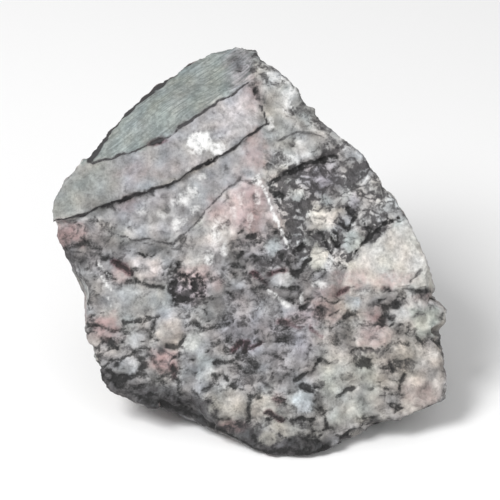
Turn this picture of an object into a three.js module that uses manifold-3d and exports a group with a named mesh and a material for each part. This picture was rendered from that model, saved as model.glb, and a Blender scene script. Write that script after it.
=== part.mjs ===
// An aquascaping rock: one block of grey veined marble breccia, broken on every side.
// Millimetres, +Z up. The rock stands on a flat foot at Z = 0 and shows its main face to -Y.
// The origin is on the foot, under the middle of the rock's bounding box.
import * as THREE from "three";
import { ConvexGeometry } from "three/addons/geometries/ConvexGeometry.js";
import { SimplexNoise } from "three/addons/math/SimplexNoise.js";
import { mergeVertices } from "three/addons/utils/BufferGeometryUtils.js";
import Module from "manifold-3d";

// Driving dimensions: the block over its outermost corners.
const WIDTH = 150;
const DEPTH = 134;
const HEIGHT = 117;

// How finely the broken faces are divided, and the flat foot, which needs less.
const FACE_EDGE = 6.2;
const FOOT_EDGE = 14;
const EVEN_GAIN = 0.05; // a diagonal is turned only to save this much length
const ONE_PLANE = Math.cos(THREE.MathUtils.degToRad(4)); // and only between triangles this near to level

// How far the broken faces wander: height and wavelength of each swell.
const SWELLS = [
  { height: 1.4, length: 34 },
  { height: 0.6, length: 14 },
];
const FOOT_BLEND = 5; // the swells die out over this height above the foot

// Chips out of the edges: how many, how deep, how far they reach in depths, and how far their rims clear
// the edge.
const CHIPS = 30;
const CHIP_DEPTH = [1.2, 3.4];
const CHIP_REACH = [2.6, 4.6];
const CHIP_RIM = 0.6;
const CHIP_MIN_EDGE = 8; // only edges this long, and this sharp in degrees, are chipped
const CHIP_MIN_ANGLE = 30;

// Pits and knobs that have weathered out of the breccia. A knob is a pit of negative depth.
const PIT_DEPTH = [-1.1, 1.5];
const PIT_RADIUS = [3.2, 5.4];

// Where the two streams of random numbers start: one for chips and pits, one for the swells.
const SEED = 5;
const SWELL_SEED = 1617013327;

// Corners of the block, ring by ring from the foot up, each in percent of WIDTH, DEPTH and HEIGHT.
const FOOT = [
  [8, -43.5, 0], [16.5, -44, 0], [32, -28, 0], [40, -13, 0], [37, 15, 0], [20, 37, 0],
  [-5, 40, 0], [-25, 27, 0], [-31, 0, 0], [-26, -16, 0], [-9, -28, 0],
];
const SKIRT = [
  [7, -48, 1.5], [15.5, -48.5, 1.7], [26, -41, 6], [37, -40, 9], [49, -34, 12], [46.5, -10, 14], [46, 16, 9],
  [29, 43, 7], [-4, 49, 5], [-32, 36, 7], [-36, 6, 10], [-36.5, -29.5, 17], [-30, -33, 13], [-17, -31.5, 11],
  [-3, -44, 4],
];
const GIRDLE = [
  [-39.5, -22, 27], [-47, -6, 49], [-50.5, -1, 55], [-50, 3, 60.5], [-41, 22, 42], [-27, 46, 51], [0, 50, 53],
  [30, 37, 43], [45, 13, 24], [49, -28, 20], [49, -17, 34.5], [43, -8, 48], [39, 0, 60],
];
const CROWN = [
  [-42, 8, 67], [-37.5, 9, 70.5], [-34.5, 19, 80], [-30.5, 23, 84], [-24, 28, 89.5], [-14, 33, 96],
  [-4, 35, 99.5], [-1, 19, 95], [1, 31, 100], [3.5, 21, 96], [9, 20, 95.5], [15.5, 14, 82],
  [22, 10, 76], [29.5, 8, 73.5], [13, 34, 75], [26, 27, 60], [-20, 41, 78],
];

// Three corners that lie on each broad face, in the same percents, counterclockwise from outside.
const FACES = {
  frontLeft: [[-36, -31, 15], [7, -48, 1.5], [4, 11, 85.5]],
  frontRight: [[16, -49, 1.5], [49, -34, 12], [4, 11, 85.5]],
  topLeft: [[-37.5, 9, 70.5], [-1, 19, 95], [-4, 35, 99.5]],
  back: [[20, 37, 0], [-5, 40, 0], [0, 50, 53]],
  backLeft: [[-27, 46, 51], [-32, 36, 7], [-41, 22, 42]],
  backRight: [[29, 43, 7], [30, 37, 43], [46, 16, 9]],
};

// Flakes that have split away. The break starts as a ledge from one point to the other, at a depth in mm
// under the face for each of them, and runs out to nothing after its fall, to the right of the ledge from
// outside.
const FLAKES = [
  { face: "frontLeft", from: [-60, -2.5, 50], to: [-6, 5.5, 75.5], depth: [3.4, 3.4], fall: 84 },
  { face: "frontLeft", from: [-17.5, 1.5, 66.5], to: [8.5, 12, 88.5], depth: [3.4, 2.4], fall: 88 },
  { face: "frontLeft", from: [-41, -0.5, 58], to: [-19, -8.5, 51.5], depth: [3.0, 4.2], fall: 60 },
  { face: "frontLeft", from: [-22, -9, 50.5], to: [-0.5, 3, 73], depth: [4.6, 1.6], fall: 52 },
  { face: "frontRight", from: [11.5, -14, 50], to: [3.5, 0.5, 72], depth: [2.0, 2.4], fall: 58 },
  { face: "frontRight", from: [21.5, -17, 43], to: [47, -14, 40], depth: [0.3, 2.6], fall: 44 },
  { face: "topLeft", from: [2, 20, 97], to: [-44, 8, 71], depth: [1.6, 1.6], fall: 36 },
  { face: "back", from: [24, 47, 40], to: [-30, 48, 58], depth: [4.5, 4.5], fall: 46 },
  { face: "backLeft", from: [-23, 46, 30], to: [-48, 16, 36], depth: [4.0, 4.0], fall: 34 },
  { face: "backRight", from: [50, 8, 30], to: [24, 42, 26], depth: [4.0, 4.0], fall: 30 },
];

// Larger bites out of the outline: two points of the broken edge in percent, the way out, and the depth and
// the reach in mm.
const NOTCHES = [
  { from: [49, -25, 24], to: [49, -21, 30], outward: [1, 0.3, 0], depth: 6.0, reach: 11 },
  { from: [49, -15, 36.5], to: [46.5, -12, 41], outward: [1, 0.3, 0.3], depth: 6.5, reach: 10 },
  { from: [-24, -33, 11], to: [-6, -41, 5], outward: [-0.3, -0.8, -0.4], depth: 4.4, reach: 15 },
  { from: [-42, -17, 34], to: [-46, -8, 47], outward: [-1, 0.1, 0], depth: 6.0, reach: 26 },
  { from: [24, -43, 4], to: [36, -38, 7], outward: [0.3, -0.8, -0.5], depth: 3.2, reach: 16 },
];

// Where the breccia has weathered into pits: a point on the surface, the reach round it and how many.
const PITTED = [
  { at: [22, -4, 60], reach: 24, count: 9 },
  { at: [-2, -18, 42], reach: 26, count: 7 },
  { at: [-28, -22, 28], reach: 22, count: 6 },
  { at: [10, -40, 14], reach: 28, count: 8 },
  { at: [34, -26, 26], reach: 24, count: 7 },
  { at: [5, 48, 40], reach: 40, count: 9 },
];

const wasm = await Module();
wasm.setup();

// A repeatable stream of numbers from 0 to 1, so that every build gives the same rock.
function seeded(seed) {
  let state = seed >>> 0;
  return () => {
    state = (state + 0x6d2b79f5) >>> 0;
    let mixed = Math.imul(state ^ (state >>> 15), 1 | state);
    mixed = (mixed + Math.imul(mixed ^ (mixed >>> 7), 61 | mixed)) ^ mixed;
    return ((mixed ^ (mixed >>> 14)) >>> 0) / 4294967296;
  };
}

const random = seeded(SEED);
const between = ([low, high]) => low + (high - low) * random();
const corner = ([x, y, z]) => new THREE.Vector3(x * WIDTH, y * DEPTH, z * HEIGHT).multiplyScalar(0.01);
const offset = (point, direction, distance) => point.clone().addScaledVector(direction, distance);

// The solid inside the tightest skin round some points.
function hullSolid(points) {
  const geometry = new ConvexGeometry(points);
  geometry.deleteAttribute("normal");
  const merged = mergeVertices(geometry, 1e-3);
  return new wasm.Manifold(
    new wasm.Mesh({
      numProp: 3,
      vertProperties: new Float32Array(merged.attributes.position.array),
      triVerts: new Uint32Array(merged.index.array),
    }),
  );
}

// A solid's skin as corner points and triangles of three corner numbers.
function skinOf(solid) {
  const mesh = solid.getMesh();
  const points = [];
  for (let i = 0; i < mesh.numVert; i++) {
    points.push(new THREE.Vector3().fromArray(mesh.vertProperties, i * mesh.numProp));
  }
  const triangles = [];
  for (let i = 0; i < mesh.triVerts.length; i += 3) {
    triangles.push([...mesh.triVerts.slice(i, i + 3)]);
  }
  return { points, triangles };
}

function outwardOf(face) {
  const [a, b, c] = FACES[face].map(corner);
  return b.sub(a).cross(c.sub(a)).normalize();
}

// The wedge that a flake leaves empty: deep under its ledge, and at the face again after its fall.
function flakeWedge({ face, from, to, depth, fall }) {
  const clear = 30;
  const outward = outwardOf(face);
  const ends = [from, to].map(corner);
  const down = new THREE.Vector3().subVectors(ends[1], ends[0]).cross(outward).normalize();
  return hullSolid(
    ends.flatMap((end, i) => [
      offset(end, outward, -depth[i]),
      offset(end, outward, clear),
      offset(end, down, fall),
      offset(offset(end, down, fall), outward, clear),
    ]),
  );
}

// Every long edge that stands out sharply, with the mean of the outward directions of its two triangles.
function sharpEdges({ points, triangles }) {
  const owners = new Map();
  const edges = [];
  for (const [a, b, c] of triangles) {
    const plane = new THREE.Plane().setFromCoplanarPoints(points[a], points[b], points[c]);
    for (const [i, j, far] of [[a, b, c], [b, c, a], [c, a, b]]) {
      owners.set(`${i},${j}`, { normal: plane.normal, far });
      const other = owners.get(`${j},${i}`);
      if (!other || points[i].distanceTo(points[j]) < CHIP_MIN_EDGE) continue;
      const turn = THREE.MathUtils.radToDeg(plane.normal.angleTo(other.normal));
      const standsOut = plane.distanceToPoint(points[other.far]) < 0;
      if (turn < CHIP_MIN_ANGLE || !standsOut) continue;
      const outward = plane.normal.clone().add(other.normal).normalize();
      edges.push({ from: points[i], to: points[j], outward });
    }
  }
  return edges;
}

// The bite that a chip takes out of an edge: deepest in its middle, and gone at its two ends and two sides.
function chipBite({ from, to, outward }, depth, place, reach) {
  const along = new THREE.Vector3().subVectors(to, from).normalize();
  const across = new THREE.Vector3().crossVectors(outward, along);
  const spot = from.clone().lerp(to, place);
  const rim = offset(spot, outward, CHIP_RIM);
  return hullSolid([
    offset(spot, outward, -depth),
    offset(rim, along, reach()),
    offset(rim, along, -reach()),
    offset(rim, across, reach()),
    offset(rim, across, -reach()),
    offset(rim, outward, depth),
  ]);
}

// Turns the shared edge of two triangles in one plane wherever the other diagonal is shorter, so that none
// stays thin.
function evenOut(points, triangles) {
  const normalOf = (t) => new THREE.Triangle(...t.map((i) => points[i])).getNormal(new THREE.Vector3());
  const span = (i, j) => points[i].distanceTo(points[j]);
  const turned = new Set([-1]);
  while (turned.size) {
    turned.clear();
    const owner = new Map();
    triangles.forEach((t, n) => t.forEach((i, k) => owner.set(`${i},${t[(k + 1) % 3]}`, n)));
    triangles.forEach((t, n) => {
      for (let k = 0; k < 3 && !turned.has(n); k++) {
        const [a, b, c] = [t[k], t[(k + 1) % 3], t[(k + 2) % 3]];
        const m = owner.get(`${b},${a}`);
        const d = triangles[m].find((i) => i !== a && i !== b);
        if (turned.has(m) || span(c, d) > span(a, b) - EVEN_GAIN) continue;
        if (owner.has(`${c},${d}`) || owner.has(`${d},${c}`)) continue;
        const pair = [[a, d, c], [d, b, c]];
        const normals = [t, triangles[m], ...pair].map(normalOf);
        if (normals.some((normal) => normal.dot(normals[0]) < ONE_PLANE)) continue;
        [triangles[n], triangles[m]] = pair;
        turned.add(n).add(m);
      }
    });
  }
  return triangles;
}

// Divides the skin until no edge is over its limit. Each round halves the longest edge of every triangle that
// is too large, and of every neighbour that this touches, so the skin stays closed.
function refine({ points, triangles }) {
  const keyOf = (i, j) => (i < j ? `${i},${j}` : `${j},${i}`);
  const isFoot = (i) => points[i].z < 1e-3;
  const limit = (i, j) => (isFoot(i) && isFoot(j) ? FOOT_EDGE : FACE_EDGE);
  const share = (i, j) => points[i].distanceTo(points[j]) / limit(i, j);
  const longestFirst = (triangle) => {
    const shares = [0, 1, 2].map((k) => share(triangle[k], triangle[(k + 1) % 3]));
    const longest = shares.indexOf(Math.max(...shares));
    return [0, 1, 2].map((k) => triangle[(longest + k) % 3]);
  };
  let pieces = triangles;
  for (;;) {
    pieces = evenOut(points, pieces).map(longestFirst);
    const middles = new Map();
    const halve = (i, j) => {
      if (middles.has(keyOf(i, j))) return;
      middles.set(keyOf(i, j), points.push(points[i].clone().lerp(points[j], 0.5)) - 1);
    };
    for (const [a, b] of pieces) if (share(a, b) > 1) halve(a, b);
    if (!middles.size) return { points, triangles: pieces };
    for (let before = 0; before < middles.size; ) {
      before = middles.size;
      for (const [a, b, c] of pieces) if (middles.has(keyOf(b, c)) || middles.has(keyOf(c, a))) halve(a, b);
    }
    pieces = pieces.flatMap(([a, b, c]) => {
      const [ab, bc, ca] = [keyOf(a, b), keyOf(b, c), keyOf(c, a)].map((key) => middles.get(key));
      if (ab === undefined) return [[a, b, c]];
      const left = ca === undefined ? [[a, ab, c]] : [[a, ab, ca], [ca, ab, c]];
      const right = bc === undefined ? [[ab, b, c]] : [[ab, b, bc], [ab, bc, c]];
      return [...left, ...right];
    });
  }
}

// Pits of the weathered breccia, scattered on the skin round each pitted place.
function scatterPits({ points, triangles }) {
  return PITTED.flatMap(({ at, reach, count }) => {
    const centre = corner(at);
    const near = triangles
      .map((t) => new THREE.Triangle(...t.map((i) => points[i])))
      .filter((t) => t.a.distanceTo(centre) < reach && t.a.z > FOOT_BLEND);
    return Array.from({ length: count }, () => {
      const bed = near[Math.floor(random() * near.length)];
      return {
        at: bed.getMidpoint(new THREE.Vector3()),
        inward: bed.getNormal(new THREE.Vector3()).negate(),
        radius: between(PIT_RADIUS),
        depth: between(PIT_DEPTH),
      };
    });
  });
}

// Moves every point by one smooth field of swells and pits, which can't fold the skin. The foot stays flat.
function roughen({ points, triangles }) {
  const stream = seeded(SWELL_SEED);
  const fields = [0, 1, 2].map(() => new SimplexNoise({ random: stream }));
  const pits = scatterPits({ points, triangles });
  const moved = points.map((point) => {
    const shift = new THREE.Vector3();
    for (const { height, length } of SWELLS) {
      const [x, y, z] = point.clone().divideScalar(length).toArray();
      shift.add(new THREE.Vector3(...fields.map((field) => height * field.noise3d(x, y, z))));
    }
    for (const { at, inward, radius, depth } of pits) {
      const nearness = Math.max(0, 1 - point.distanceTo(at) / radius);
      shift.addScaledVector(inward, depth * THREE.MathUtils.smoothstep(nearness, 0, 1));
    }
    shift.z *= THREE.MathUtils.smoothstep(point.z, 0, FOOT_BLEND);
    return point.clone().add(shift);
  });
  return { points: moved, triangles };
}

function geometryOf({ points, triangles }) {
  const geometry = new THREE.BufferGeometry().setFromPoints(points);
  geometry.setIndex(triangles.flat());
  geometry.computeBoundingBox();
  const middle = geometry.boundingBox.getCenter(new THREE.Vector3());
  geometry.translate(-middle.x, -middle.y, -geometry.boundingBox.min.z);
  geometry.computeVertexNormals();
  return geometry;
}

let block = hullSolid([...FOOT, ...SKIRT, ...GIRDLE, ...CROWN].map(corner));
const edges = sharpEdges(skinOf(block));
for (const flake of FLAKES) block = block.subtract(flakeWedge(flake));
for (const { from, to, outward, depth, reach } of NOTCHES) {
  const edge = { from: corner(from), to: corner(to), outward: new THREE.Vector3(...outward).normalize() };
  block = block.subtract(chipBite(edge, depth, 0.5, () => reach));
}
for (let i = 0; i < CHIPS; i++) {
  const edge = edges[Math.floor(random() * edges.length)];
  const depth = between(CHIP_DEPTH);
  block = block.subtract(chipBite(edge, depth, random(), () => between(CHIP_REACH) * depth));
}

const stone = new THREE.MeshStandardMaterial({ color: 0xa9a9a8, roughness: 0.7, metalness: 0 });
const rock = new THREE.Mesh(geometryOf(roughen(refine(skinOf(block)))), stone);
rock.name = "rock";

const part = new THREE.Group();
part.add(rock);
export default part;
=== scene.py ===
# %% [markdown]
# # A rock for an aquarium layout
#
# The rock is one block of grey marble breccia: sharp light fragments, which geologists call clasts, set in a
# dark matrix, crossed by thin dark veins and stained pink. It broke out of its bed on every side.
# The CAD model gives the block, its faces and its ledges. This lesson adds what the eye sees from close by:
# the fine relief, the painting that nature left on the front, and painted shade and highlights on top of it.

# %% Load the frame
import math

import bpy
import numpy as np
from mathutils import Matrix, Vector, noise


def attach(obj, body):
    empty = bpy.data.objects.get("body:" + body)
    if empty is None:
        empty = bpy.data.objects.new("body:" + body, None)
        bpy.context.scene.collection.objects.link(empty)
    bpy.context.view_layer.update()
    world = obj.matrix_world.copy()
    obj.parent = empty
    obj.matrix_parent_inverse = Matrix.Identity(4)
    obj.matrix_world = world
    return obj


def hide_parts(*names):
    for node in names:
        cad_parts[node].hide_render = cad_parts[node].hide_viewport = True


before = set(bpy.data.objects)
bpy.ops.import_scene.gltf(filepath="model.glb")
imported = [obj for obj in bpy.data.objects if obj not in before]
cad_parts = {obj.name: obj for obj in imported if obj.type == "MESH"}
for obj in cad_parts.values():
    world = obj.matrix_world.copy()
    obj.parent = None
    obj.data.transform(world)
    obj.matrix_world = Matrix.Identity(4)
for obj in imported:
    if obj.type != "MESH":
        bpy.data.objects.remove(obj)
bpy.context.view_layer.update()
cad_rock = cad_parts["rock"]
MM = 0.001

# %% [markdown]
# ## The camera
#
# The camera comes first, because the markings are placed through it: a vein is written down where the
# photograph shows it, and the camera says which points of the stone lie there. A long lens from far away
# keeps the block's edges straight, as a product photograph does. The frame is a square window of the
# photograph, so one number turns a place in that window into a place in the render.

# %% Camera
ELEVATION = math.radians(30)
DISTANCE = 1.6
AIM = Vector((0.45 * MM, -1.2 * MM, 52.9 * MM))
VIEW_WIDTH = 189 * MM
WINDOW_CENTRE = (210, 342)
WINDOW_SIDE = 210

toward_camera = Vector((0, -math.cos(ELEVATION), math.sin(ELEVATION)))
bpy.ops.object.camera_add(location=AIM + DISTANCE * toward_camera)
camera = bpy.context.object
camera.name = "camera"
camera.rotation_euler = (math.pi / 2 - ELEVATION, 0, 0)
camera.data.lens = camera.data.sensor_width * DISTANCE / VIEW_WIDTH
bpy.context.scene.camera = camera
print("Lens in mm:", round(camera.data.lens))

# %% [markdown]
# ## The body of the stone
#
# The CAD rock has large flat triangles. Fine relief needs many small, even faces, so a copy is merged and
# then remeshed: a voxel remesh fills the shape with little cubes and wraps a new skin of even quads round
# them. Subdividing would keep the long thin triangles beside the ledges, and those would tear when they are
# displaced.

# %% Copy and remesh the block
VOXEL = 0.9 * MM
SAME_PLACE = 0.01 * MM


def apply_modifier(piece, kind, name, **settings):
    """Adds a modifier to a piece and applies it at once."""
    modifier = piece.modifiers.new(name, kind)
    for setting, value in settings.items():
        setattr(modifier, setting, value)
    bpy.context.view_layer.objects.active = piece
    bpy.ops.object.modifier_apply(modifier=modifier.name)


bpy.ops.object.select_all(action="DESELECT")
cad_rock.select_set(True)
bpy.context.view_layer.objects.active = cad_rock
bpy.ops.object.duplicate()
stone = bpy.context.object
stone.name = "stone"
bpy.ops.object.mode_set(mode="EDIT")
bpy.ops.mesh.select_all(action="SELECT")
bpy.ops.mesh.remove_doubles(threshold=SAME_PLACE)
bpy.ops.object.mode_set(mode="OBJECT")
apply_modifier(stone, "REMESH", "even skin", mode="VOXEL", voxel_size=VOXEL)
apply_modifier(stone, "SMOOTH", "no voxel steps", factor=0.5, iterations=1)
print("Stone:", len(stone.data.vertices), "points,", len(stone.data.polygons), "faces")

# %% [markdown]
# ## Where each point lies
#
# Every vertex gets three facts: its place in millimetres, its place in the photograph's window, and how
# squarely it faces the camera. Markings read from the photograph belong only to faces that it shows. The
# sides and the back take theirs from noise through the whole block, as a real block is veined all the way
# through. A fourth fact serves every side: where the neighbours of a point stand higher than the point
# itself, the surface is hollow there, as under a ledge, and such hollows get painted shade.

# %% Read the points
count = len(stone.data.vertices)
places = np.empty(count * 3)
stone.data.vertices.foreach_get("co", places)
places = places.reshape(count, 3) / MM
facing_ways = np.empty(count * 3)
stone.data.vertices.foreach_get("normal", facing_ways)
facing_ways = facing_ways.reshape(count, 3)
neighbours = np.empty(len(stone.data.edges) * 2, int)
stone.data.edges.foreach_get("vertices", neighbours)
neighbours = neighbours.reshape(-1, 2)
print("Points:", count, "with", len(neighbours), "edges between them")

# %% Window places, facing and creases
FRONT_FACING = (0.08, 0.3)
EDGE_FACING = (-0.4, -0.1)
CREASE_DEPTH = (0.04, 0.14)


def ramp(values, low, high):
    """0 below low, 1 above high and a soft step between them."""
    share = np.clip((values - low) / (high - low), 0, 1)
    return share * share * (3 - 2 * share)


def window_places(points):
    """Where points in mm lie in the photograph's window, in its pixels."""
    turn = np.array(camera.rotation_euler.to_matrix())
    seen = (points * MM - np.array(camera.location)) @ turn
    pixels = WINDOW_SIDE * camera.data.lens / camera.data.sensor_width / -seen[:, 2]
    return np.array(WINDOW_CENTRE) + seen[:, :2] * pixels[:, None] * [1, -1]


def spread(values):
    """For each point, the mean of the values at the points next to it."""
    total = np.zeros((count, values.shape[1]))
    for here, there in (neighbours.T, neighbours[:, ::-1].T):
        np.add.at(total, here, values[there])
    return total / np.bincount(neighbours.ravel(), minlength=count)[:, None]


facing = facing_ways @ np.array(toward_camera)
front = ramp(facing, *FRONT_FACING)
edge_on = ramp(facing, *EDGE_FACING)
window = window_places(places)
# Painted shade: points in hollows and creases, as under a ledge, are darkened in the paint.
hollowness = np.sum((spread(places) - places) * facing_ways, axis=1)
painted_crease_shade = ramp(spread(spread(hollowness[:, None]))[:, 0], *CREASE_DEPTH)
print("In the window:", window.min(axis=0).round(1), "to", window.max(axis=0).round(1))

# %% [markdown]
# ## Noise that every marking shares
#
# Nothing on a stone has a ruled edge. Perlin noise bends the outlines, and Voronoi noise, which gives each
# point to its nearest seed, breaks the stone into clasts with one random number each. The number called seed
# in a call only picks another part of the same noise.

# %% Noise helpers
CLAST_SHAPE = np.array([1.35, 1, 1])
CLAST_SIZE = 6.5
BEND = 0.8
FINE_BEND = 0.5


def swell(size, seed, push=0):
    """Smooth noise from -1 to 1, with bumps of one size or three sizes in mm, read at pushed places."""
    spots = (places + push) / size + seed
    return np.array([noise.noise(spot) for spot in spots.tolist()])


def clasts(size, seed):
    """For each point, its clast's own random number and how far inside the clast it is, both from 0 to 1."""
    push = np.stack([swell(size * 1.5, seed + shift) for shift in (0, 20, 40)], axis=1)
    spots = places / (size * CLAST_SHAPE) + seed + 0.5 * push
    found = [noise.voronoi(spot) for spot in spots.tolist()]
    inside = np.array([distances[1] - distances[0] for distances, centres in found])
    number = np.array([noise.cell(centres[0] * 7.3) for distances, centres in found])
    return number / 2 + 0.5, np.clip(inside * 2, 0, 1)


bend = np.stack([swell(4, seed=3), swell(4, seed=9)], axis=1)
fine_bend = np.stack([swell(1.7, seed=5), swell(1.7, seed=7)], axis=1)
drawn = window + BEND * bend + FINE_BEND * fine_bend
wander = 0.7 * swell(5, seed=41) + 0.6 * swell(2.2, seed=43)
clast_number, clast_inside = clasts(CLAST_SIZE, seed=11)
clast_tone = np.modf(clast_number * 13.7)[0] - 0.5
print("Clast numbers:", clast_number.min().round(2), "to", clast_number.max().round(2))

# %% [markdown]
# ## The zones of the front
#
# The front is a patchwork: a fibrous green-grey bed on top, a paler band under it, a lavender wedge, a patch
# of dense dark breccia, a cream corner and a warm lower right. Each zone is an outline in the window with a
# colour, the share of dark matrix, the share of coarse clasts and the softness of its edge in pixels. Some
# also have sharp shards, called hard, or fibres. A later zone covers an earlier one. Painting them on the
# vertices, as with a brush in Vertex Paint, keeps the shader small, and the shader then adds what is finer
# than the vertices. Sides that the photograph doesn't show start from three greys, mixed by noise.

# %% Zone helpers


def colour(red, green, blue):
    """A colour as the screen shows it, from 0 to 255, as linear light."""
    share = np.array([red, green, blue]) / 255
    return np.where(share < 0.04045, share / 12.92, ((share + 0.055) / 1.055) ** 2.4)


def line_distance(path):
    """How far each drawn point is from a line, in pixels."""
    nearest = np.full(count, np.inf)
    for start, end in zip(np.array(path[:-1], float), np.array(path[1:], float)):
        along = end - start
        offset = drawn - start
        share = np.clip(offset @ along / (along @ along), 0, 1)
        nearest = np.minimum(nearest, np.linalg.norm(offset - share[:, None] * along, axis=1))
    return nearest


def depth_inside(outline):
    """How far each drawn point is inside an outline, in pixels, and below 0 outside."""
    corners = np.array(outline, float)
    inside = np.zeros(count, bool)
    for start, end in zip(corners, np.roll(corners, -1, axis=0)):
        along = end - start
        offset = drawn - start
        crosses = (start[1] > drawn[:, 1]) != (end[1] > drawn[:, 1])
        rise = along[1] if along[1] else 1
        inside ^= crosses & (offset[:, 0] < offset[:, 1] * along[0] / rise)
    nearest = line_distance([*outline, outline[0]])
    return np.where(inside, nearest, -nearest)


print("Mid grey as linear light:", colour(128, 128, 128).round(3))

# %% Outlines of the zones
ZONES = {
    "lower face": dict(
        outline=[(130, 340), (150, 333), (178, 341), (207, 312), (216, 313), (228, 342), (250, 352),
                 (246, 365), (240, 390), (244, 426), (205, 424), (145, 395)],
        paint=(138, 137, 137), dark=0.34, coarse=0.6, hard=0.25, soft=2),
    "warm right": dict(
        outline=[(240, 362), (249, 356), (289, 357), (296, 380), (296, 406), (262, 417), (240, 428),
                 (242, 400)],
        paint=(154, 150, 146), dark=0.32, coarse=0.5, hard=0.2, soft=8),
    "middle": dict(
        outline=[(200, 335), (222, 331), (230, 345), (242, 352), (238, 372), (225, 380), (200, 362)],
        paint=(131, 128, 129), dark=0.42, coarse=0.5, hard=0.45, soft=4),
    "pink middle": dict(
        outline=[(207, 312), (216, 313), (224, 331), (214, 336), (196, 333), (192, 327)],
        paint=(161, 154, 154), dark=0.26, coarse=0.1, soft=4),
    "upper left edge": dict(
        outline=[(124, 332), (144, 329), (150, 335), (160, 341), (160, 348), (142, 352), (130, 348)],
        paint=(115, 113, 114), dark=0.38, coarse=0.4, hard=0.3, soft=4),
    "streaky patch": dict(
        outline=[(178, 344), (184, 335), (193, 330), (203, 333), (203, 344), (197, 351), (187, 350)],
        paint=(166, 164, 163), dark=0.2, coarse=0.1, soft=3),
    "dark cluster": dict(
        outline=[(176, 358), (179, 352), (186, 350), (192, 354), (192, 361), (186, 365), (179, 364)],
        paint=(166, 156, 158), dark=0.58, coarse=0.0, hard=1, soft=2),
    "bottom": dict(
        outline=[(188, 403), (210, 399), (240, 405), (244, 430), (205, 426)],
        paint=(136, 135, 133), dark=0.38, coarse=0.6, hard=0.4, soft=4),
    "lavender centre": dict(
        outline=[(196, 372), (206, 364), (235, 366), (238, 385), (228, 396), (208, 397)],
        paint=(136, 134, 137), dark=0.4, coarse=0.5, hard=0.4, soft=5),
    "light left face": dict(
        outline=[(150, 358), (176, 356), (177, 369), (160, 373), (150, 371)],
        paint=(149, 150, 150), dark=0.16, coarse=0.1, soft=2.5),
    "greenish block": dict(
        outline=[(240, 392), (254, 388), (262, 392), (263, 404), (258, 413), (243, 416)],
        paint=(162, 162, 157), dark=0.2, coarse=0.2, soft=3),
    "right block": dict(
        outline=[(276, 383), (292, 383), (292, 404), (277, 411), (273, 398)],
        paint=(164, 158, 153), dark=0.22, coarse=0.2, soft=2),
    "greenish edge": dict(
        outline=[(277, 367), (290, 366), (289, 377), (281, 380)],
        paint=(148, 151, 145), dark=0.3, coarse=0.2, soft=2),
    # The dark border is partly painted shade along the lower left edge and partly dark streaky stone.
    "dark border": dict(
        outline=[(138, 390), (147, 391), (160, 396), (185, 401), (200, 412), (218, 419), (246, 421),
                 (240, 436), (190, 432), (150, 412)],
        paint=(78, 77, 78), dark=0.46, coarse=0.6, hard=0.6, soft=3),
    "band": dict(
        outline=[(122, 331), (126, 318), (143, 303), (165, 299), (190, 283), (209, 272), (214, 281),
                 (217, 288), (200, 301), (185, 309), (160, 319), (146, 325)],
        paint=(144, 143, 144), dark=0.12, coarse=0.0, soft=1),
    "band's green end": dict(
        outline=[(122, 331), (126, 318), (143, 303), (150, 303), (153, 315), (146, 325)],
        paint=(136, 138, 135), dark=0.1, coarse=0.0, soft=6),
    "band's light end": dict(
        outline=[(193, 285), (209, 275), (214, 283), (212, 291), (198, 299)],
        paint=(170, 167, 168), dark=0.14, coarse=0.0, soft=4),
    "wedge": dict(
        outline=[(144, 327), (160, 320), (175, 315), (190, 308), (204, 299), (216, 290), (216, 312),
                 (207, 312), (195, 323), (178, 340), (160, 336)],
        paint=(145, 144, 145), dark=0.18, coarse=0.0, soft=1),
    "fibrous bed": dict(
        outline=[(138, 306), (152, 288), (165, 275), (186, 258), (204, 250), (213, 258), (210, 271),
                 (190, 283), (176, 293), (165, 299), (150, 303)],
        paint=(141, 147, 144), dark=0.05, coarse=0.0, fibre=0.75, soft=1),
    "bed's speckled end": dict(
        outline=[(199, 262), (206, 253), (216, 262), (212, 271), (203, 275)],
        paint=(144, 141, 143), dark=0.3, coarse=0.0, fibre=0.75, soft=4),
    "pale top": dict(
        outline=[(211, 254), (226, 264), (240, 284), (252, 296), (240, 303), (225, 308), (217, 313),
                 (214, 280)],
        paint=(158, 158, 157), dark=0.34, coarse=0.1, hard=0.3, soft=2),
    "dense breccia": dict(
        outline=[(217, 314), (225, 308), (244, 301), (250, 295), (262, 305), (277, 326), (263, 337),
                 (255, 346), (244, 351), (233, 349)],
        paint=(160, 159, 158), dark=0.56, coarse=0.0, hard=1, soft=1),
    "lavender breccia": dict(
        outline=[(230, 306), (246, 303), (248, 316), (234, 321)],
        paint=(142, 139, 142), dark=0.54, coarse=0.0, hard=1, soft=4),
    "cream corner": dict(
        outline=[(276, 328), (262, 339), (252, 349), (248, 357), (290, 358), (286, 342)],
        paint=(190, 188, 183), dark=0.05, coarse=0.0, soft=1),
}
print("Zones:", ", ".join(ZONES))

# %% Paint the sides and the zones
SIDE_GREY = colour(160, 158, 157)
SIDE_WARM = colour(170, 165, 159)
SIDE_GREEN = colour(176, 179, 176)
SIDE_DARK = 0.3
SIDE_DARK_SWING = 0.24
SIDE_COARSE = 0.7
SIDE_HARD = 0.3
ZONE_WAVER = 1.2

aside = swell(26, seed=15)
tint = SIDE_GREY + (SIDE_WARM - SIDE_GREY) * ramp(swell(34, seed=21), 0, 0.4)[:, None]
tint += (SIDE_GREEN - tint) * ramp(-aside, 0.12, 0.3)[:, None]
dark = SIDE_DARK + SIDE_DARK_SWING * ramp(aside, 0.05, 0.3)
coarse = np.full(count, SIDE_COARSE)
fibre = np.zeros(count)
hard = np.full(count, SIDE_HARD)
for zone in ZONES.values():
    share = front * ramp(depth_inside(zone["outline"]) + ZONE_WAVER * wander, -zone["soft"], zone["soft"])
    tint += (colour(*zone["paint"]) - tint) * share[:, None]
    dark += (zone["dark"] - dark) * share
    coarse += (zone["coarse"] - coarse) * share
    fibre += (zone.get("fibre", 0) - fibre) * share
    hard += (zone.get("hard", 0) - hard) * share
print("Mean tint so far:", tint.mean(axis=0).round(3))

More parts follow.
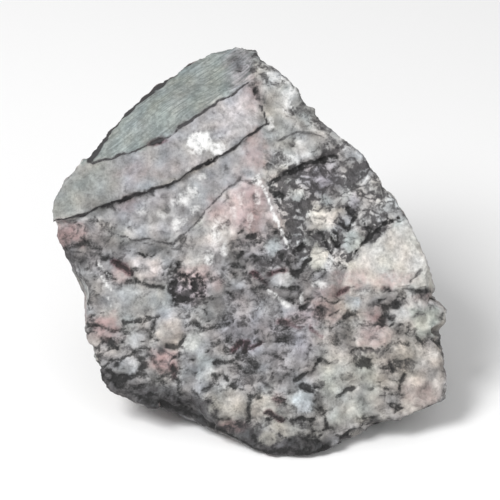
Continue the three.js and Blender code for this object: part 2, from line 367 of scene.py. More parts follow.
# %% [markdown]
# ## Veins
#
# The veins are seams where the beds meet: nearly black along the ledges, thin and grey inside the wedge.
# Each is a line in the window with a half width and a strength. The rim of the top bed lies on the stone's
# very edge, so it also takes in points that face a little away. Away from the front, the same beds run on
# through the block, so there the veins are slices of it: thin sheets, parallel to the beds, bent by noise.
# Every second bed between them is calm and grey, like the band and the wedge in front.

# %% Veins of the front
RIM = [
    (1.5, 1.0, [(142.5, 304), (147.5, 296), (151.5, 290), (157, 285), (163, 279)]),
    (1.0, 1.0, [(163, 279), (170.5, 273.7), (179, 267), (187, 261)]),
]
VEINS = [
    (0.35, 0.8, [(144, 305), (153, 303), (161, 300.5), (165, 298.5), (176, 294), (182, 289.5), (189, 284.5),
                 (197, 279.5), (203, 276), (209.5, 271)]),
    (0.3, 0.85, [(124, 331.5), (137, 328), (157, 321), (177, 314), (193, 305), (199.5, 301.5), (211, 293.5),
                 (217.5, 289), (214.5, 282)]),
    (0.35, 0.6, [(206, 312), (198.5, 318.5), (192, 325), (188.5, 329.5), (182.5, 335.5), (177.5, 340)]),
    (0.35, 0.65, [(177.5, 340), (168, 338), (160, 337.5), (154, 335), (148, 333), (145, 328)]),
    (0.4, 0.6, [(222, 296), (230, 292), (240, 294), (247, 299)]),
    (0.3, 0.6, [(277, 356), (282.5, 350)]),
]
STROKE_BLUR = 0.9
STROKE_CORE = 0.2


def strokes(lines, seen=front, waver=0.4):
    """The strongest of some lines at each seen point. A line is a half width, a strength and a path."""
    strongest = np.zeros(count)
    for half_width, strength, path in lines:
        near = -line_distance(path) - waver * wander
        mark = strength * ramp(near, -half_width - STROKE_BLUR, -half_width * STROKE_CORE)
        strongest = np.maximum(strongest, mark)
    return strongest * seen


drawn_veins = np.maximum(strokes(VEINS), strokes(RIM, edge_on))
print("Veins:", len(VEINS) + len(RIM), "lines on the front")

# %% Veins and beds of the other sides
BED_ALONG = np.array([0.81, 0.39, 0.44])
BED_INWARD = np.array([0, 1, 0.1])
BED_HEIGHT = 23
SHEET_HALF_WIDTH = 1.1
SHEET_CORE = 0.3
CALM_BED = dict(paint=(142, 142, 143), dark=0.14, coarse=0.15)
CALM_SHARE = 0.8

bed_up = np.cross(BED_ALONG, BED_INWARD)
sheet = places @ bed_up / BED_HEIGHT + 0.25 * swell(38, seed=33) + 0.05 * swell(7, seed=35)
from_sheet = np.abs(sheet - np.round(sheet)) * BED_HEIGHT
sheets = ramp(-from_sheet, -SHEET_HALF_WIDTH, -SHEET_CORE)
vein = (1 - front) * sheets * ramp(swell(30, seed=37), -0.1, 0.15)
vein = np.maximum(vein, drawn_veins)
calm = CALM_SHARE * (1 - front) * ramp(np.sin(math.pi * sheet), -0.1, 0.3)
tint += (colour(*CALM_BED["paint"]) - tint) * calm[:, None]
dark += (CALM_BED["dark"] - dark) * calm
coarse += (CALM_BED["coarse"] - coarse) * calm
print("Veins behind the front: sheets", BED_HEIGHT, "mm apart")

# %% [markdown]
# ## Gaps between the clasts
#
# Where the matrix has weathered out, the gaps round the clasts are nearly black. Some of that black is dark
# matrix, as in the smudges along the bedding; the arcs round a single clast and the dark line along the
# lower edge are painted shade. They could be left to noise, but the eye finds its way over this stone by
# them, so each is drawn as a short brush stroke. A few are stained maroon.

# %% Dark gaps
# Painted shade: the arcs round single clasts and the lines along the lower edges are painted shadows; the
# other strokes are dark matrix.
GAPS_AND_SHADOWS = {
    "left edge": [
        (1.5, 0.85, [(133.5, 341), (140, 338.5), (147, 341.5)]),
        (1.0, 0.8, [(146, 342), (149, 346)]),
        (0.8, 0.8, [(160, 355), (168, 357), (173.5, 358)]),
    ],
    "dark cluster": [
        (1.3, 1.0, [(177, 359), (178.5, 355), (182, 352.5)]),
        (1.5, 1.0, [(186.5, 354.5), (186, 358)]),
        (1.3, 1.0, [(178, 361), (181, 363), (185, 362.5)]),
        (1.1, 0.9, [(188, 352.5), (190, 355), (190.5, 358)]),
        (0.8, 0.8, [(187.5, 361), (190, 361)]),
        (0.8, 0.7, [(182, 357), (184, 353)]),
    ],
    "cream clast": [
        (1.2, 1.0, [(157, 372), (163, 372.5), (166.5, 371), (171.5, 370.5)]),
        (1.0, 0.9, [(170, 372), (168, 375.5), (168.5, 379)]),
        (1.1, 1.0, [(182.5, 378.5), (179.5, 382.5), (175, 382)]),
        (0.7, 0.6, [(184, 369.5), (185, 367)]),
        (0.9, 0.8, [(187, 372.5), (189.5, 375), (198, 374), (202.5, 372.5)]),
    ],
    "left foot": [
        (0.6, 0.7, [(141.5, 376.5), (144.5, 376), (147.5, 379)]),
        (2.0, 1.0, [(164, 387.5), (166, 390.5), (164, 394)]),
        (1.5, 1.0, [(164, 394), (160, 395.8), (155, 396)]),
        (1.6, 1.0, [(150.5, 392), (153, 395)]),
        (0.7, 0.8, [(154, 390), (157, 387), (160, 385.5)]),
    ],
    "lower left edge": [
        (1.4, 0.7, [(156, 398), (161, 400), (168, 398)]),
        (1.0, 0.8, [(173.5, 397.5), (176, 402.5)]),
        (1.0, 0.8, [(178.5, 403.5), (183.5, 408.5)]),
        (1.0, 0.7, [(185.5, 401), (188, 404)]),
        (1.0, 0.7, [(190.5, 400.5), (195.5, 398)]),
        (1.0, 0.8, [(145, 393), (160, 402), (173, 407), (184, 410), (195, 416), (207, 423.5)]),
    ],
    "middle": [
        (0.7, 0.8, [(204.5, 345), (206.5, 343)]),
        (0.9, 0.8, [(211, 344.5), (219, 346)]),
        (0.7, 0.7, [(202, 348), (208, 349)]),
        (0.8, 0.8, [(199.5, 359), (203, 361)]),
        (1.2, 1.0, [(209.5, 336.5), (211.5, 336.5)]),
        (0.8, 0.8, [(205, 335), (206.5, 333.5)]),
        (0.8, 0.7, [(219.5, 335), (220.5, 334.5)]),
        (0.5, 0.5, [(195.5, 382), (202, 377.5)]),
        (0.9, 0.9, [(195.5, 389), (201, 389), (207, 391)]),
        (0.9, 0.8, [(195, 394.5), (199, 393.5), (201, 398), (203.5, 400.5)]),
        (0.7, 0.5, [(214.5, 393.5), (221, 394)]),
        (0.9, 0.8, [(229, 396.5), (234, 393.5)]),
        (1.0, 0.9, [(232, 399), (236.5, 401)]),
    ],
    "dense breccia": [
        (0.9, 1.0, [(224.5, 309.5), (229.5, 308.5), (234.5, 305.5), (241.5, 303.5), (246.5, 302.5)]),
        (1.1, 0.9, [(218, 314.5), (222, 311.5)]),
        (1.0, 0.9, [(219, 317), (224, 320)]),
        (1.3, 1.0, [(223.5, 344), (227, 349.5), (230, 353.5)]),
        (0.8, 1.0, [(235, 345.5), (231.5, 350), (229.5, 351)]),
        (0.8, 0.9, [(228.5, 343), (233.5, 339.5)]),
        (0.8, 0.8, [(221, 357), (230, 358)]),
        (0.9, 0.9, [(226, 362.5), (228.5, 364.5)]),
        (0.9, 0.8, [(232, 366.5), (234, 364.5)]),
        (0.6, 0.6, [(235, 354), (236.5, 351), (241.5, 350.5)]),
        (0.7, 0.7, [(236, 334), (239.5, 334.5), (242.5, 338), (244, 343.5)]),
        (0.5, 0.9, [(253, 345), (259.5, 337.5), (266, 331.5), (272, 328)]),
        (0.9, 1.0, [(257.5, 330), (261, 334.5), (259.5, 337.5)]),
        (1.0, 1.0, [(245.5, 335), (246.5, 340)]),
        (0.9, 1.0, [(251, 324.5), (255, 327.5), (251, 333.5), (248, 330.5)]),
        (0.7, 0.9, [(246.5, 347.5), (247.5, 347.5)]),
    ],
    "right": [
        (0.4, 0.5, [(254, 359), (263.5, 359.5)]),
        (0.7, 0.7, [(268.5, 359.5), (275, 358.5), (286.5, 359.5)]),
        (0.9, 0.8, [(249.5, 370.5), (255, 367.5)]),
        (1.9, 1.0, [(267, 366), (271.5, 364.5)]),
        (1.0, 0.8, [(266, 368), (270, 371.5)]),
        (0.7, 0.8, [(265, 373), (266, 373.5)]),
        (0.8, 0.7, [(276.5, 373), (276, 375)]),
        (0.8, 0.8, [(272.5, 379.5), (276.5, 381.5)]),
        (0.8, 0.7, [(279.5, 378), (283, 381.5), (286.5, 376.5)]),
        (1.0, 0.9, [(287, 379.5), (292, 382.5), (291, 386)]),
        (1.7, 0.95, [(256, 390), (258, 388), (260.5, 390.5)]),
        (1.0, 0.85, [(247.5, 403), (251, 400.5), (254.5, 399.5)]),
        (0.7, 0.7, [(261, 400), (263, 399)]),
        (0.8, 0.8, [(274.5, 394.5), (273, 402)]),
        (0.8, 0.7, [(240, 407.5), (242.5, 416)]),
        (0.9, 0.7, [(257, 412.5), (263.5, 412)]),
        (0.9, 0.9, [(262.5, 416), (272.5, 415)]),
    ],
    "bottom": [
        (0.9, 0.8, [(231, 412.5), (236.5, 413)]),
        (0.8, 0.8, [(210, 403.5), (209, 414)]),
        (0.7, 0.7, [(194, 412), (198.5, 413)]),
        (0.7, 0.7, [(211, 403.5), (215, 404.5)]),
        (2.2, 0.75, [(232, 420), (238, 423)]),
        (1.0, 0.9, [(207, 423.5), (215.5, 427.5), (226.5, 425.5), (235, 428.5), (243, 424)]),
    ],
}
GAP_WAVER = 0.8

dark_gaps_and_shadows = strokes(sum(GAPS_AND_SHADOWS.values(), []), waver=GAP_WAVER)
print("Dark gaps:", sum(len(lines) for lines in GAPS_AND_SHADOWS.values()))

# %% Maroon gaps
MAROON_GAPS = [
    (1.2, 0.9, [(153, 346.5), (160, 352)]),
    (1.6, 0.7, [(167, 297.5), (174, 295.5)]),
    (1.0, 0.9, [(211, 351.5), (216.5, 355.5)]),
    (0.8, 0.8, [(217.5, 352), (224, 350.5)]),
    (1.4, 0.95, [(203, 384), (206, 381)]),
    (1.2, 0.95, [(207.5, 384), (209, 380.5)]),
    (1.0, 0.9, [(211, 383), (214, 381.5)]),
    (1.1, 0.8, [(217.5, 410), (223.5, 413.5)]),
    (0.8, 0.7, [(220.5, 404.5), (224, 405.5)]),
    (0.8, 0.6, [(222, 371.5), (231, 374.5)]),
    (0.7, 0.6, [(235.5, 375), (240, 378.5)]),
    (0.8, 0.7, [(177.5, 390.5), (178.5, 395)]),
    (0.8, 0.8, [(247.5, 360.5), (251, 358)]),
]
MAROON = colour(104, 66, 74)

maroon = strokes(MAROON_GAPS, waver=GAP_WAVER)
drawn_gaps_and_shadows = np.maximum(dark_gaps_and_shadows, maroon)
print("Maroon gaps:", len(MAROON_GAPS))

# %% [markdown]
# ## Stains, crystals and single clasts
#
# Iron has stained the stone pink in patches, and calcite has grown white crystals in its cracks. Their white
# also stands in for the sparkle of the crystals, as a painted highlight. A few clasts are large enough to
# stand out alone. Each is a soft spot in the window: a centre and two half sizes, with a strength or, for a
# clast, its own colour.

# %% Stains and crystals
SPOT_WAVER = 0.5
SIDE_PINK = 0.5


def spot(x, y, half_width, half_height, blur=1.0):
    """A spot in the window, 1 in its middle and 0 outside, its edge blurred over that share of its size."""
    reach = np.hypot((drawn[:, 0] - x) / half_width, (drawn[:, 1] - y) / half_height)
    return front * ramp(-reach - SPOT_WAVER * wander, -1 - blur / 2, -1 + blur / 2)


PINK = [
    (209, 323, 8, 11, 0.65), (198, 326, 7, 6, 0.45), (212, 301, 5, 9, 0.55), (133, 335, 7, 5, 0.8),
    (149.5, 374.5, 6.5, 5.5, 0.9), (173.5, 388.5, 5.5, 5, 0.9), (253, 354, 7, 4, 0.7),
    (268.5, 355, 9, 3.5, 0.7), (262, 376, 5.5, 8, 0.7), (241, 366, 7, 7, 0.55), (281, 402, 8, 5, 0.35),
    (211, 278, 4, 7, 0.4), (188, 351, 7, 3, 0.5), (196, 356, 3, 4, 0.4), (159, 323, 5, 3, 0.3),
    (155.5, 352.5, 4, 3, 0.6), (232, 371, 6, 3, 0.4), (243, 360, 5, 4, 0.5), (203, 416, 6, 2.5, 0.4),
    (222, 404, 3, 3, 0.4), (284, 362, 6, 2, 0.3), (166, 309, 12, 4, 0.2),
]
WHITE = [
    (188.5, 297, 5.5, 5, 1.0), (196.5, 300, 4, 3.6, 0.9), (181, 321, 5, 3.5, 0.55), (186, 317, 3, 3, 0.55),
    (190, 311, 2, 2, 0.6), (164, 325, 3, 2.5, 0.45), (180, 331, 3.5, 3.5, 0.55), (187, 325, 3, 3, 0.5),
    (173, 327, 3, 2, 0.4), (184, 309, 1.8, 1.8, 0.5), (196, 335, 3, 6, 0.55), (199, 342, 2.5, 4, 0.55),
    (213, 313, 2.4, 3, 0.8), (244, 346.5, 1.8, 2, 0.9), (240, 356.5, 4, 2.5, 0.6), (206, 320, 2, 4, 0.5),
    (203, 326, 2, 4, 0.5), (210, 329, 1.6, 5, 0.45), (213, 321, 1.6, 5, 0.5), (199, 330, 2.4, 4, 0.5),
    (226, 270, 4, 4, 0.6), (227, 279, 4, 6, 0.55), (221, 268, 4, 4, 0.45), (238, 290, 4, 3, 0.45),
    (227, 304, 5, 2.6, 0.6), (218, 289, 3, 3, 0.5), (193, 346, 2.4, 3, 0.6),
]
WHITE_SEAMS = [
    (0.5, 0.95, [(215.5, 315), (220.5, 328.5), (226.5, 341)]),
    (0.4, 0.8, [(146.5, 348), (151, 353)]),
    (0.4, 0.8, [(148, 353), (151.5, 359)]),
    (0.4, 0.7, [(150, 362), (151.5, 365.5)]),
    (1.4, 0.7, [(217.5, 359), (226, 365.5)]),
    (0.8, 0.6, [(231.5, 360.5), (232, 364.5)]),
    (0.4, 0.7, [(215, 266), (226, 272), (231, 283)]),
]

pink = np.max([strength * spot(*place) for *place, strength in PINK], axis=0)
pink = np.maximum(pink, SIDE_PINK * (1 - front) * ramp(swell(13, seed=97), 0.15, 0.4))
# Painted highlight: the white of the crystals also stands in for their sparkle.
white = np.max([strength * spot(*place) for *place, strength in WHITE], axis=0)
white = np.maximum(white, strokes(WHITE_SEAMS))
print("Spots:", len(PINK), "pink and", len(WHITE), "white, with", len(WHITE_SEAMS), "white seams")

# %% Single clasts
CLAST_COVER = 0.65
CLAST_BLUR = 0.7
SINGLE_CLASTS = [
    ((176, 376.5, 6, 6.2), (178, 170, 163)),
    ((159.5, 389.5, 4.2, 4.4), (184, 187, 190)),
    ((145, 379.5, 2.8, 3.4), (192, 186, 181)),
    ((167, 349, 5.5, 4.8), (188, 177, 173)),
    ((202.5, 407.5, 8, 6.8), (164, 161, 155)),
    ((216, 407.5, 5, 4.6), (170, 165, 158)),
    ((232.5, 406, 5.6, 3.8), (184, 190, 193)),
    ((241.5, 329, 7, 5.2), (184, 176, 166)),
    ((239, 345, 3.6, 5.6), (184, 181, 171)),
    ((223.5, 355, 5.8, 2.8), (178, 182, 184)),
    ((186, 381, 4, 5.2), (186, 188, 184)),
    ((191, 392, 3.6, 5.6), (186, 189, 186)),
    ((253, 364.5, 3.2, 2.6), (188, 196, 200)),
    ((229.5, 319, 2.8, 2.4), (180, 183, 180)),
    ((253.5, 321.5, 2.2, 3.4), (186, 182, 188)),
    ((242, 321, 2.4, 2.2), (172, 176, 173)),
    ((253.5, 338.5, 4.6, 4), (170, 176, 174)),
    ((251, 329.5, 1.8, 1.8), (180, 177, 177)),
    ((241.5, 313, 2.2, 2.2), (192, 188, 196)),
    ((205, 355.5, 3.2, 3.2), (172, 172, 175)),
    ((283, 372, 3.2, 3), (182, 184, 176)),
    ((220, 339.5, 4, 3.6), (144, 150, 150)),
    ((218, 421, 4.4, 2.6), (150, 148, 141)),
    ((226.5, 417.5, 4.6, 2.8), (156, 154, 148)),
]

single = np.zeros(count)
for place, paint in SINGLE_CLASTS:
    core = CLAST_COVER * spot(*place, blur=CLAST_BLUR)
    tint += (colour(*paint) - tint) * core[:, None]
    single = np.maximum(single, core)
tint += (MAROON - tint) * maroon[:, None]
print("Single clasts:", len(SINGLE_CLASTS))

# %% [markdown]
# ## Put the paint on the vertices
#
# The larger clasts get their own tone here, because the relief below follows the same clasts: a dark gap is
# also a dip. Noise that is flattened and turned gives wisps of matrix between them. Swells of three sizes
# mottle the paint, others turn it a little warm or green. Faces that point down get painted shade, and the
# paint is darker on faces near the foot that don't face up. The result is stored as attributes of the mesh,
# which the shader reads by name.

# %% Shade the clasts and the gaps
WISP_SIZE = np.array([5.5, 5.5, 1.9])
WISP_TURN = 4
LOST_CLAST_SHADE = 0.9
JOINT_SHADE = 0.75
WISP_SHADE = 1.2

loose = coarse * (1 - single)
lost_clast = loose * (1 - 0.85 * front) * ramp(dark * 0.5 - clast_number, -0.05, 0.05)
joint = loose * (1 - ramp(clast_inside, 0.05, 0.45)) * ramp(swell(9, seed=61), -0.2, 0.25)
turns = WISP_TURN * np.stack([swell(9, seed) for seed in (51, 53, 55)], axis=1)
wisps = swell(WISP_SIZE, seed=93, push=turns) + 0.4 * swell(0.4 * WISP_SIZE, seed=95, push=turns)
wisp = loose * ramp(wisps, 0.16, 0.44)
shades = [lost_clast * LOST_CLAST_SHADE, joint * JOINT_SHADE, wisp * WISP_SHADE]
# Dark matrix from the joints, wisps and lost clasts, and painted shade from the drawn strokes.
matrix_and_shade = np.maximum.reduce([*shades, drawn_gaps_and_shadows])
print("Mean shade of the gaps:", matrix_and_shade.mean().round(3))

# %% Mottle the paint
CLAST_CONTRAST = 0.9
MOTTLE_LIMIT = 0.3
UNDER_SHADE_AND_FOOT_DARKNESS = 0.4
FOOT_DARK_FULL = 3
FOOT_DARK_TOP = 14

broken = 0.35 + 0.65 * ramp(dark, 0.04, 0.3)
mottle = 0.5 * swell(9, seed=65) + 0.6 * swell(4.2, seed=67) + 0.25 * swell(2, seed=69)
warm = 0.05 * swell(12, seed=81) + 0.06 * swell(5, seed=83)
green = 0.03 * swell(8, seed=85)
lightness = np.minimum(CLAST_CONTRAST * loose * clast_tone + broken * mottle, MOTTLE_LIMIT)
tint *= np.exp(lightness)[:, None]
tint *= 1 + np.stack([warm, green, -warm], axis=1)
# Painted shade on faces that point down; faces near the foot that don't face up are darkened too.
near_foot = ramp(-places[:, 2], -FOOT_DARK_TOP, -FOOT_DARK_FULL) * ramp(-facing_ways[:, 2], -0.45, -0.15)
under = np.maximum(ramp(-facing_ways[:, 2], 0.05, 0.5), near_foot)
tint *= (1 - UNDER_SHADE_AND_FOOT_DARKNESS * under)[:, None]
dark = np.clip(dark * (1 - 0.8 * single) * (1 + 0.5 * swell(9, seed=71)) + 0.1 * under, 0, 0.8)
print("Mean tint:", tint.mean(axis=0).round(3))

# %% Store the paint
CREASE_SHADE = 0.85


def store(name, kind, values):
    """Keeps values on the stone's vertices under a name."""
    attribute = stone.data.attributes.new(name, kind, "POINT")
    field = "color" if kind == "FLOAT_COLOR" else "value"
    attribute.data.foreach_set(field, np.ascontiguousarray(values, np.float32).ravel())


store("tint", "FLOAT_COLOR", np.column_stack([np.clip(tint, 0, 1), np.ones(count)]))
# The creases add painted shade to the mask of dark matrix and painted shade.
masks = {"dark": dark, "hard": hard, "matrix_and_shade": np.maximum(matrix_and_shade, CREASE_SHADE * painted_crease_shade), "vein": vein,
         "pink": pink, "crystal_and_sparkle_mask": white, "fibre": fibre}
for name, values in masks.items():
    store(name, "FLOAT", values)
print("Stored: tint,", ", ".join(masks))

# %% [markdown]
# ## Relief
#
# Four vertex groups work like masks in Weight Paint, and they drive Displace modifiers. One sinks veins and
# gaps, and one lifts clasts and crystals. One says where the break is rough, and two modifiers add lumps and
# grain there, from Blender's own cloud texture. The last draws the right edge inward where the photograph
# shows small hollows in the outline: each is a place in the window, a reach in pixels and a share of the
# depth. All of them fade out at the foot, so that the stone still stands flat.

# %% Masks for the relief
HOLLOWS = [
    ((289.5, 363), 5.5, 1.0),
    ((289.5, 375.5), 4, 0.8),
    ((232, 281), 8, 0.9),
    ((240, 288), 8, 0.6),
    ((216, 263), 7, 0.5),
]
FOOT_FADE = (0.5, 5)

off_foot = ramp(places[:, 2], *FOOT_FADE)


def weigh(name, weights):
    """Makes a vertex group of weights from 0 to 1."""
    group = stone.vertex_groups.new(name=name)
    for index, weight in enumerate((weights * off_foot).tolist()):
        group.add([index], weight, "REPLACE")


weigh("sunk", np.clip(np.maximum(vein, matrix_and_shade), 0, 1))
weigh("lifted", np.clip(single + loose * clast_inside * (1 - lost_clast) + 0.6 * white, 0, 1))
weigh("broken", np.clip(1 - 0.8 * fibre - 0.4 * single, 0, 1))
weigh("hollow", np.max([depth * ramp(-np.hypot(*(window - place).T), -reach, 0)
                        for place, reach, depth in HOLLOWS], axis=0))
print("Masks:", ", ".join(group.name for group in stone.vertex_groups))

# %% Displace and apply
HOLLOW_DEPTH = 4 * MM
GAP_DEPTH = 0.9 * MM
CLAST_LIFT = 0.6 * MM
LUMP_SIZE = 7
LUMP_HEIGHT = 2.2 * MM
GRAIN_SIZE = 2.2
GRAIN_HEIGHT = 0.8 * MM


def clouds(name, size):
    """A cloud texture with lumps of that size in mm."""
    texture = bpy.data.textures.new(name, "CLOUDS")
    texture.noise_scale = size * MM
    texture.noise_depth = 2
    return texture


apply_modifier(stone, "DISPLACE", "hollows of the edge", vertex_group="hollow", direction="X", mid_level=0,
               strength=-HOLLOW_DEPTH)
apply_modifier(stone, "DISPLACE", "broken lumps", vertex_group="broken", texture=clouds("lumps", LUMP_SIZE),
               texture_coords="LOCAL", strength=LUMP_HEIGHT)
apply_modifier(stone, "DISPLACE", "sunk gaps", vertex_group="sunk", mid_level=0, strength=-GAP_DEPTH)
apply_modifier(stone, "DISPLACE", "lifted clasts", vertex_group="lifted", mid_level=0, strength=CLAST_LIFT)
apply_modifier(stone, "DISPLACE", "grain", vertex_group="broken", texture=clouds("grain", GRAIN_SIZE),
               texture_coords="LOCAL", strength=GRAIN_HEIGHT)
bpy.ops.object.select_all(action="DESELECT")
stone.select_set(True)
bpy.ops.object.shade_smooth()
stone.vertex_groups.clear()
print("Relief done:", len(stone.data.polygons), "faces")

# %% [markdown]
# ## Helpers for nodes
#
# A material in Blender is a graph of nodes. Placed by hand in the Shader Editor, this one would be dozens of
# boxes, so each helper adds one kind of node and gives back its output, ready for the next.

# %% Node helpers


def add(tree, kind, inputs=(), **settings):
    """Adds a node with its properties, and links or sets its inputs from pairs of a socket and a source."""
    made = tree.nodes.new(kind)
    for setting, value in settings.items():
        setattr(made, setting, value)
    for socket, source in inputs:
        if isinstance(source, bpy.types.NodeSocket):
            tree.links.new(source, made.inputs[socket])
        else:
            made.inputs[socket].default_value = source
    return made


def sums(tree, operation, first, second):
    """Two numbers added, multiplied and so on."""
    return add(tree, "ShaderNodeMath", [(0, first), (1, second)], operation=operation).outputs[0]


def move(tree, operation, first, second):
    """Two vectors added or subtracted, or a vector or colour scaled by a number."""
    socket = "Scale" if operation == "SCALE" else 1
    return add(tree, "ShaderNodeVectorMath", [(0, first), (socket, second)], operation=operation).outputs[0]


def step(tree, value, low, high, bottom=0.0, top=1.0):
    """A soft step from bottom to top as the value goes from low to high."""
    pairs = [("Value", value), ("From Min", low), ("From Max", high), ("To Min", bottom), ("To Max", top)]
    return add(tree, "ShaderNodeMapRange", pairs, interpolation_type="SMOOTHSTEP").outputs["Result"]


def cover(tree, amount, below, above):
    """One colour laid over another."""
    below_socket, above_socket, result_socket = 6, 7, 2
    pairs = [(0, amount), (below_socket, below), (above_socket, above)]
    return add(tree, "ShaderNodeMix", pairs, data_type="RGBA").outputs[result_socket]


def lumps(tree, where, per_mm, detail=2):
    """Cloudy noise with that many lumps in a millimetre, as a number and as three."""
    pairs = [("Vector", where), ("Scale", per_mm), ("Detail", detail), ("Roughness", 0.6)]
    return add(tree, "ShaderNodeTexNoise", pairs).outputs


def cells(tree, where, per_mm, feature, **inputs):
    """A Voronoi texture with that many cells in a millimetre."""
    pairs = [("Vector", where), ("Scale", per_mm), *inputs.items()]
    return add(tree, "ShaderNodeTexVoronoi", pairs, feature=feature).outputs


def shards(tree, where, per_mm, feature="SMOOTH_F1", **inputs):
    """A random number for each Voronoi cell."""
    made = cells(tree, where, per_mm, feature, **inputs)
    return add(tree, "ShaderNodeSeparateColor", [("Color", made["Color"])]).outputs["Red"]


def weighted(tree, *parts):
    """The sum of some numbers, each times its own weight."""
    total = 0.0
    for value, weight in parts:
        pairs = [(0, value), (1, weight), (2, total)]
        total = add(tree, "ShaderNodeMath", pairs, operation="MULTIPLY_ADD").outputs[0]
    return total


def painted(tree, name):
    """The paint of that name on the vertices."""
    socket = "Color" if name == "tint" else "Fac"
    return add(tree, "ShaderNodeAttribute", attribute_name=name).outputs[socket]


print("Node helpers ready")

# %% [markdown]
# ## The finish
#
# The shader adds what is finer than a vertex: shards of one to four millimetres, their dark matrix, grain,
# the fibres of the top bed, and white crystals whose sparkle is a painted highlight. Soft Voronoi cells of
# two sizes and the grain are added up, and where the sum is low there is matrix. One size of cells alone
# would look like a mosaic of pebbles.
# Where the paint says hard, a third set of cells with sharp edges takes over from the soft ones. The fibres
# are noise that is stretched along the bedding.

# %% Shards and fibres
WIDE_LUMPS = 0.14
WIDE_PUSH = 6
FINE_LUMPS = 0.7
FINE_PUSH = 1.2
CLAST_STRETCH = (0.8, 1, 1)
LARGE_SHARDS = 0.26
SMALL_SHARDS = 0.7
SHARP_SHARDS = 0.31
SHARD_BLUR = 0.35
FIBRES = 1.2
FIBRE_STRETCH = 0.95


def pushed_places(tree, in_mm):
    """Places in mm, pushed about by wide and by fine noise."""
    wide_push = move(tree, "SCALE", lumps(tree, in_mm, WIDE_LUMPS)["Color"], WIDE_PUSH)
    fine_push = move(tree, "SCALE", lumps(tree, in_mm, FINE_LUMPS)["Color"], FINE_PUSH)
    return move(tree, "ADD", move(tree, "ADD", in_mm, wide_push), fine_push)


def breccia(tree, pushed, cloud, grain):
    """A number that is high in light shards and low in matrix, from soft or, where painted, hard shards."""
    split = move(tree, "MULTIPLY", pushed, CLAST_STRETCH)
    large = shards(tree, split, LARGE_SHARDS, Smoothness=SHARD_BLUR)
    small = shards(tree, split, SMALL_SHARDS, Smoothness=SHARD_BLUR)
    soft = weighted(tree, (large, 0.5), (small, 0.15), (cloud, 0.2), (grain, 0.15))
    sharp = shards(tree, split, SHARP_SHARDS, "F1")
    from_gap = cells(tree, split, SHARP_SHARDS, "DISTANCE_TO_EDGE")["Distance"]
    inner = step(tree, weighted(tree, (from_gap, 1), (grain, 0.3), (1, -0.15)), 0.02, 0.4)
    hard = weighted(tree, (sharp, 0.34), (inner, 0.34), (cloud, 0.2), (grain, 0.24))
    harder = sums(tree, "MULTIPLY", painted(tree, "hard"), sums(tree, "SUBTRACT", hard, soft))
    return sums(tree, "ADD", soft, harder)


def fibre_streaks(tree, in_mm):
    """Dark streaks along the bedding, where the paint has fibre."""
    along = tuple(BED_ALONG / np.linalg.norm(BED_ALONG))
    dot = add(tree, "ShaderNodeVectorMath", [(0, in_mm), (1, along)], operation="DOT_PRODUCT")
    run = sums(tree, "MULTIPLY", dot.outputs["Value"], FIBRE_STRETCH)
    squeezed = move(tree, "SUBTRACT", in_mm, move(tree, "SCALE", along, run))
    fibres = lumps(tree, squeezed, FIBRES, 4)["Fac"]
    return sums(tree, "MULTIPLY", step(tree, fibres, 0.42, 0.66), painted(tree, "fibre"))


print("Shards in mm:", [round(1 / per_mm, 1) for per_mm in (LARGE_SHARDS, SMALL_SHARDS, SHARP_SHARDS)])

# %% Stone material
CHARCOAL = tuple(colour(62, 59, 61))
SEAM = (*colour(46, 44, 46), 1)
# The white of the crystals and of their painted sparkle.
CRYSTAL_AND_SPARKLE = (*colour(232, 232, 231), 1)
STREAK = (*colour(92, 100, 98), 1)
BLUSH = (*colour(190, 152, 149), 1)
GRAIN_LUMPS = 1.3
CLOUD_LUMPS = 0.4
SPECK_LUMPS = 0.65
STREAK_COVER = 0.75
MATRIX_COVER = 0.85
SEAM_COVER = 0.95
BUMP_STRENGTH = 0.7
BUMP_HEIGHT = 0.5 * MM


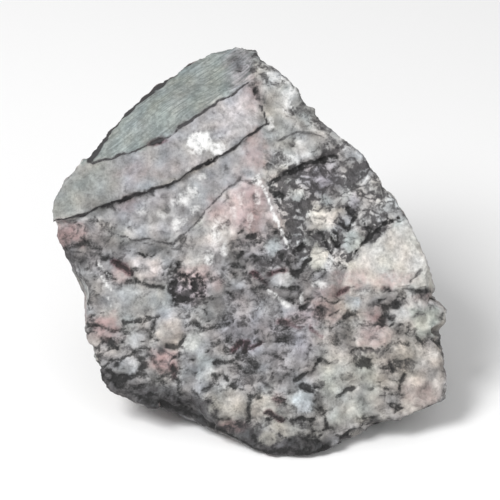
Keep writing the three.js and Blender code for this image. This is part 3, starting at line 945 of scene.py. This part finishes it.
def stone_finish():
    """The material of the whole stone."""
    material = bpy.data.materials.new("veined breccia")
    material.use_nodes = True
    tree = material.node_tree
    shader = tree.nodes["Principled BSDF"]
    in_mm = move(tree, "SCALE", add(tree, "ShaderNodeTexCoord").outputs["Object"], 1 / MM)
    pushed = pushed_places(tree, in_mm)
    grain = lumps(tree, in_mm, GRAIN_LUMPS, 5)["Fac"]
    cloud = step(tree, lumps(tree, pushed, CLOUD_LUMPS, 5)["Fac"], 0.3, 0.7)
    shard = breccia(tree, pushed, cloud, grain)
    streak = fibre_streaks(tree, in_mm)

    rough = step(tree, painted(tree, "dark"), 0.04, 0.35, 0.2, 1)
    shard_tone = sums(tree, "MULTIPLY", rough, weighted(tree, (shard, 1.5), (1, -0.75)))
    specks = weighted(tree, (lumps(tree, in_mm, SPECK_LUMPS)["Fac"], 1.1), (1, -0.55))
    fine_tone = sums(tree, "MULTIPLY", sums(tree, "SUBTRACT", 1.2, rough), specks)
    tone = weighted(tree, (cloud, 0.24), (grain, 0.22), (shard_tone, 1), (fine_tone, 1), (1, 0.77))
    paint = move(tree, "SCALE", painted(tree, "tint"), tone)
    blush = sums(tree, "MULTIPLY", painted(tree, "pink"), weighted(tree, (cloud, 0.4), (1, 0.25)))
    paint = cover(tree, blush, paint, BLUSH)
    paint = cover(tree, sums(tree, "MULTIPLY", streak, STREAK_COVER), paint, STREAK)

    over = sums(tree, "SUBTRACT", shard, painted(tree, "dark"))
    matrix = step(tree, over, -0.2, 0.14, 1, 0)
    murk = move(tree, "SCALE", CHARCOAL, weighted(tree, (cloud, 1.0), (grain, 0.9), (1, 0.05)))
    paint = cover(tree, sums(tree, "MULTIPLY", matrix, MATRIX_COVER), paint, murk)
    # Painted shade and dark matrix: the paint is darkened by the mask of the gaps, broken up by the shards
    # and grain.
    crumbs = weighted(tree, (shard, -1.6), (grain, -1.6), (1, 2.72))
    crumbled = sums(tree, "MULTIPLY", painted(tree, "matrix_and_shade"), crumbs)
    paint = move(tree, "SCALE", paint, step(tree, crumbled, 0.05, 0.95, 1, 0.1))

    # White crystals, with their sparkle painted on as a highlight.
    flecks = weighted(tree, (cloud, 0.9), (grain, 0.9), (1, 0.1))
    white_and_sparkle = step(tree, sums(tree, "MULTIPLY", painted(tree, "crystal_and_sparkle_mask"), flecks), 0.2, 1.1, 0, 0.9)
    paint = cover(tree, white_and_sparkle, paint, CRYSTAL_AND_SPARKLE)
    grainy_vein = sums(tree, "ADD", painted(tree, "vein"), sums(tree, "MULTIPLY", grain, 0.5))
    seam = step(tree, grainy_vein, 0.5, 0.95)
    paint = cover(tree, sums(tree, "MULTIPLY", seam, SEAM_COVER), paint, SEAM)
    tree.links.new(paint, shader.inputs["Base Color"])

    tree.links.new(weighted(tree, (grain, 0.3), (white_and_sparkle, -0.2), (1, 0.5)), shader.inputs["Roughness"])
    height = weighted(tree, (grain, 1), (shard_tone, 0.8), (cloud, 0.4), (streak, -0.5), (seam, -0.5))
    bump_inputs = [("Strength", BUMP_STRENGTH), ("Distance", BUMP_HEIGHT), ("Height", height)]
    bump = add(tree, "ShaderNodeBump", bump_inputs)
    tree.links.new(bump.outputs["Normal"], shader.inputs["Normal"])
    return material


stone.data.materials.clear()
stone.data.materials.append(stone_finish())
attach(stone, "root")
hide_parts("rock")
print("Finish:", stone.data.materials[0].name)

# %% [markdown]
# ## Floor and light
#
# A white sweep and wide soft lights show the colours as they are. The key light stands high on the left in
# front, and the sky fills the shadows from all round.

# %% Floor
FLOOR_SIZE = 8
FLOOR_WHITE = (0.95, 0.95, 0.95, 1)
FLOOR_ROUGHNESS = 0.8

bpy.ops.mesh.primitive_plane_add(size=FLOOR_SIZE, location=(0, 0, 0))
floor = bpy.context.object
floor.name = "floor"
floor_paint = bpy.data.materials.new("white sweep")
floor_paint.use_nodes = True
floor_inputs = floor_paint.node_tree.nodes["Principled BSDF"].inputs
floor_inputs["Base Color"].default_value = FLOOR_WHITE
floor_inputs["Roughness"].default_value = FLOOR_ROUGHNESS
floor.data.materials.append(floor_paint)
print("Floor:", FLOOR_SIZE, "m wide")

# %% Lights
KEY = dict(place=(-0.6, -0.55, 1.0), size=0.5, power=13.5)
FILL = dict(place=(0.8, -0.8, 0.6), size=0.8, power=2.1)
SKY_STRENGTH = 0.5


def soft_light(name, place, size, power):
    """A square light of that size, aimed at the stone."""
    bpy.ops.object.light_add(type="AREA", location=place)
    lamp = bpy.context.object
    lamp.name = name
    lamp.data.size = size
    lamp.data.energy = power
    lamp.rotation_euler = (AIM - Vector(place)).to_track_quat("-Z", "Y").to_euler()


soft_light("key", **KEY)
soft_light("fill", **FILL)
sky = bpy.data.worlds.new("sky")
sky.use_nodes = True
sky_inputs = sky.node_tree.nodes["Background"].inputs
sky_inputs["Color"].default_value = (1, 1, 1, 1)
sky_inputs["Strength"].default_value = SKY_STRENGTH
bpy.context.scene.world = sky
bpy.context.scene.view_settings.view_transform = "Standard"
print("Lights: key, fill and sky")
